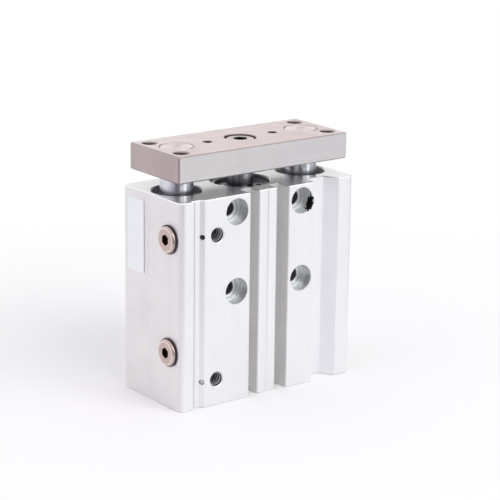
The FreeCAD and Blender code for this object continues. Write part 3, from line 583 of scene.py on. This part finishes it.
def modelThread(name, wallRadius, length, pitch):  # one ridge that climbs along +Z from the origin
    # an equal-sided triangle, flattened to the ridge's height and swept along a helix
    foot = pitch * threadValues["fullness"]
    tall = foot * math.sqrt(3) / 2
    squash = (threadValues["ridgeHeight"] + threadValues["bite"]) / tall
    across = wallRadius + (threadValues["bite"] - tall / 3 * squash) * mm
    bpy.ops.object.select_all(action="DESELECT")
    bpy.ops.mesh.primitive_circle_add(
        vertices=3, radius=foot / math.sqrt(3) * mm, location=(across, 0, 0),
        rotation=(math.pi / 2, -math.pi / 2, 0))
    thread = bpy.context.object
    thread.name = name
    bpy.ops.object.transform_apply(location=True, rotation=True, scale=True)
    bpy.ops.object.mode_set(mode="EDIT")
    bpy.ops.mesh.select_all(action="SELECT")
    bpy.ops.transform.resize(value=(squash, 1, 1), center_override=(across, 0, 0))
    bpy.ops.object.mode_set(mode="OBJECT")
    screw = thread.modifiers.new("helix", "SCREW")
    screw.axis = "Z"
    screw.angle = math.tau
    screw.screw_offset = pitch * mm
    screw.iterations = max(1, round(length / (pitch * mm)) - 1)
    screw.steps = threadValues["stepsPerTurn"]
    screw.render_steps = threadValues["stepsPerTurn"]
    bpy.ops.object.modifier_apply(modifier=screw.name)
    bpy.ops.object.mode_set(mode="EDIT")
    bpy.ops.mesh.select_mode(type="EDGE")
    bpy.ops.mesh.select_all(action="DESELECT")
    bpy.ops.mesh.select_non_manifold()
    bpy.ops.mesh.edge_face_add()
    bpy.ops.mesh.select_all(action="SELECT")
    bpy.ops.mesh.normals_make_consistent(inside=False)
    bpy.ops.object.mode_set(mode="OBJECT")
    bpy.ops.object.shade_smooth_by_angle(angle=math.radians(threadValues["creaseAngle"]))
    return thread


def cutThreads(name, wallRadius, length, mouths, outward, body, material, pitch=threadValues["pitch"]):
    # the ridge is modelled once; each copy is turned into its hole and its place is frozen
    first = modelThread(f"{name}_1", wallRadius, length, pitch)
    first.data.materials.append(material)
    copies = [first]
    for index in range(2, len(mouths) + 1):
        copy = first.copy()
        copy.data = first.data.copy()
        copy.name = f"{name}_{index}"
        bpy.context.collection.objects.link(copy)
        copies.append(copy)
    inward = -Vector(outward)
    start = inward * (threadValues["mouthGap"] + pitch / 2) * mm
    turn = inward.to_track_quat("Z", "Y").to_matrix().to_4x4()
    for thread, mouth in zip(copies, mouths):
        thread.matrix_world = Matrix.Translation(mouth + start) @ turn
        bpy.ops.object.select_all(action="DESELECT")
        thread.select_set(True)
        bpy.context.view_layer.objects.active = thread
        bpy.ops.object.transform_apply(location=True, rotation=True, scale=True)
        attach(thread, body)


def acrossAxis(mount):  # the two directions, as 0 to 2, that lie across a mount's axis
    return [index for index, part in enumerate(mount["axis"]) if abs(part) < 0.5]


def patternMouths(mount):  # the mouth of each hole of a rectangular pattern
    across = acrossAxis(mount)
    mouths = []
    for sideA in (-1, 1):
        for sideB in (-1, 1):
            mouth = Vector(mount["pos_m"])
            mouth[across[0]] += sideA * mount["dims"]["spacing_x_mm"] / 2 * mm
            mouth[across[1]] += sideB * mount["dims"]["spacing_y_mm"] / 2 * mm
            mouths.append(mouth)
    return mouths


threadLengths = {"base_holes": 9.4, "rear_holes": 12.0, "plate_holes": 7.4}   # mm
for mountName, length in threadLengths.items():
    mount = mounts[mountName]
    sizes = mount["dims"]
    inPlate = mountName == "plate_holes"
    body, metal = ("carriage", "steelTapped") if inPlate else ("housing", "aluminiumTapped")
    across = acrossAxis(mount)
    spacing = Vector((0, 0, 0))
    spacing[across[0]], spacing[across[1]] = sizes["spacing_x_mm"], sizes["spacing_y_mm"]
    material = tappedThread(metal, sizes["hole_r_mm"], Vector(mount["pos_m"]) / mm, mount["axis"], spacing)
    cutThreads("thread_" + mountName, sizes["hole_r_mm"] * mm, length * mm, patternMouths(mount),
               mount["axis"], body, material)
ports = [mounts["front_port_upper"], mounts["front_port_lower"]]
portMouths = [Vector((port["pos_m"][0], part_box("body")[0][1], port["pos_m"][2])) for port in ports]
portRadius = ports[0]["dims"]["r_mm"]
portMaterial = tappedThread("aluminiumTapped", portRadius, (portMouths[0] + portMouths[1]) / 2 / mm,
                            ports[0]["axis"], (portMouths[0] - portMouths[1]) / mm)
cutThreads("thread_front_port", portRadius * mm, ports[0]["dims"]["length_mm"] * mm, portMouths,
           ports[0]["axis"], "housing", portMaterial, threadValues["portPitch"])


# Table, studio and camera
studio = {
    "floorSize": 6.0,          # metres
    "floorColour": "#f7f6f7",
    "floorRough": 0.5,
    "floorFadeStart": 0.055,   # metres from the object where the floor starts to go white
    "floorFadeEnd": 0.22,
    "strength": 1.7,           # of the brightest strip in the ring
    "ring": [                  # what stands round the table, by compass angle
        (-180, "#d2d2d4"), (-155, "#cdc7cd"), (-147, "#cbc3d2"), (-92, "#cbc3d2"), (-72, "#a39bad"),
        (-52, "#857d8a"), (-43, "#3c383f"), (-30, "#28262a"), (-17, "#37383c"), (-7, "#5f6067"),
        (4, "#7c7f85"), (14, "#8f9298"), (19, "#ffffff"), (27, "#ffffff"), (31, "#a8abb1"), (45, "#a4a7ad"),
        (62, "#96969e"), (75, "#58575c"), (95, "#4b4a4f"), (105, "#404045"), (118, "#a0a0a2"),
        (135, "#d6d6d6"), (180, "#d2d2d4")],
    "tableSeen": [             # the same for the table top as polished metal shows it
        (-180, "#fdfdfd"), (-95, "#f6f2fa"), (-75, "#d9d2e0"), (-55, "#b4adbc"), (-42, "#4f4b54"),
        (-22, "#4b494f"), (-5, "#85868b"), (12, "#a4a6ab"), (17, "#ffffff"), (28, "#ffffff"),
        (33, "#ececef"), (60, "#e4e4e8"), (80, "#b8b7bc"), (100, "#9c9ca0"), (122, "#fdfdfd"),
        (180, "#fdfdfd")],
    "bandLow": (0.03, 0.12),   # rise, as a share of the way, over which the ring takes over from the table
    "bandHigh": (0.4, 0.6),    # and over which the ceiling takes over from the ring
    "table": "#cbcbcb",
    "ceiling": "#c6c6c6",
}


def compassRamp(tree, direction, stops):  # colours by compass angle, 0 in front of the object
    way = addNode(tree, "ShaderNodeSeparateXYZ", {"Vector": direction})
    front = maths(tree, "MULTIPLY", way.outputs["Y"], -1)
    compass = maths(tree, "ARCTAN2", way.outputs["X"], front)
    turn = addNode(tree, "ShaderNodeMapRange", {
        "Value": compass, "From Min": -math.pi, "From Max": math.pi})
    ramp = addNode(tree, "ShaderNodeValToRGB", {"Fac": turn.outputs["Result"]})
    elements = ramp.color_ramp.elements
    for index, (angle, colour) in enumerate(stops):
        position = angle / 360 + 0.5
        stop = elements[index] if index < 2 else elements.new(position)
        stop.position = position
        stop.color = srgb(colour)
    return ramp.outputs["Color"], way.outputs["Z"]


def paleFloor():
    bpy.ops.object.select_all(action="DESELECT")
    bpy.ops.mesh.primitive_plane_add(size=studio["floorSize"], location=(0, 0, cadBox[0].z))
    floor = bpy.context.object
    floor.name = "floor"
    material = bpy.data.materials.new("paperSweepMatt")
    material.use_nodes = True
    tree = material.node_tree
    tree.nodes.clear()
    place = addNode(tree, "ShaderNodeTexCoord").outputs["Object"]
    reach = addNode(tree, "ShaderNodeVectorMath", {0: place}, operation="LENGTH")
    fade = addNode(tree, "ShaderNodeMapRange", {
        "Value": reach.outputs["Value"], "From Min": studio["floorFadeStart"],
        "From Max": studio["floorFadeEnd"]}, interpolation_type="SMOOTHSTEP")
    mirrored = compassRamp(tree, place, studio["tableSeen"])[0]
    light = addNode(tree, "ShaderNodeLightPath")
    shown = blend(tree, "RGBA", light.outputs["Is Glossy Ray"], srgb("#ffffff"), mirrored)
    seen = maths(tree, "MAXIMUM", light.outputs["Is Camera Ray"], light.outputs["Is Glossy Ray"])
    white = maths(tree, "MULTIPLY", fade.outputs["Result"], seen)
    paper = addNode(tree, "ShaderNodeBsdfDiffuse", {
        "Color": srgb(studio["floorColour"]), "Roughness": studio["floorRough"]})
    glow = addNode(tree, "ShaderNodeEmission", {"Color": shown, "Strength": 1.0})
    mixed = addNode(tree, "ShaderNodeMixShader", {
        0: white, 1: paper.outputs[0], 2: glow.outputs[0]})
    addNode(tree, "ShaderNodeOutputMaterial", {"Surface": mixed.outputs[0]})
    floor.data.materials.append(material)


def studioWorld():
    world = bpy.data.worlds.new("studio")
    bpy.context.scene.world = world
    world.use_nodes = True
    tree = world.node_tree
    tree.nodes.clear()
    direction = addNode(tree, "ShaderNodeTexCoord").outputs["Generated"]
    ring, rise = compassRamp(tree, direction, studio["ring"])
    low, high = (addNode(tree, "ShaderNodeMapRange", {
        "Value": rise, "From Min": studio[band][0], "From Max": studio[band][1]},
        interpolation_type="SMOOTHSTEP").outputs["Result"] for band in ("bandLow", "bandHigh"))
    table, ceiling = (srgb(studio[name]) for name in ("table", "ceiling"))
    above = blend(tree, "RGBA", low, table, ring)
    sky = blend(tree, "RGBA", high, above, ceiling)
    seen = addNode(tree, "ShaderNodeLightPath")
    backdrop = addNode(tree, "ShaderNodeBackground", {"Color": srgb("#ffffff"), "Strength": 1.0})
    light = addNode(tree, "ShaderNodeBackground", {"Color": sky, "Strength": studio["strength"]})
    mixed = addNode(tree, "ShaderNodeMixShader", {
        0: seen.outputs["Is Camera Ray"], 1: light.outputs[0], 2: backdrop.outputs[0]})
    addNode(tree, "ShaderNodeOutputWorld", {"Surface": mixed.outputs[0]})


lamps = {   # metres and watts
    "keyFront": {"place": (0.12, -0.7, 0.55), "aimHeight": 0.04, "size": 0.8, "power": 2.6},
}


def softLamp(name, values):
    data = bpy.data.lights.new(name, "AREA")
    data.size = values["size"]
    data.energy = values["power"]
    lamp = bpy.data.objects.new(name, data)
    bpy.context.collection.objects.link(lamp)
    lamp.location = values["place"]
    aim = Vector((0, 0, values["aimHeight"])) - lamp.location
    lamp.rotation_euler = aim.to_track_quat("-Z", "Y").to_euler()


cameraView = {
    "turned": 37.38,       # degrees round to the left of the front face
    "raised": 15.62,       # degrees
    "tilted": 0.73,        # degrees that the camera leans about its own line of sight
    "distance": 0.5641,    # metres
    "lens": 134.45,        # mm
    "aimAcross": 0.00334,  # metres
    "aimHeight": 0.04117,
}


def placeCamera(values):
    turned, raised, tilted = (math.radians(values[key]) for key in ("turned", "raised", "tilted"))
    back = Vector((
        -math.sin(turned) * math.cos(raised), -math.cos(turned) * math.cos(raised), math.sin(raised)))
    right = Vector((math.cos(turned), -math.sin(turned), 0))
    up = back.cross(right)
    data = bpy.data.cameras.new("camera")
    data.lens = values["lens"]
    camera = bpy.data.objects.new("camera", data)
    bpy.context.collection.objects.link(camera)
    target = right * values["aimAcross"] + Vector((0, 0, values["aimHeight"]))
    tiltedRight = right * math.cos(tilted) + up * math.sin(tilted)
    tiltedUp = up * math.cos(tilted) - right * math.sin(tilted)
    turn = Matrix((tiltedRight, tiltedUp, back)).transposed()
    camera.matrix_world = Matrix.Translation(target + back * values["distance"]) @ turn.to_4x4()
    bpy.context.scene.camera = camera


paleFloor()
studioWorld()
for name, values in lamps.items():
    softLamp(name, values)
placeCamera(cameraView)
bpy.context.scene.view_settings.view_transform = "Standard"
print("studio set")
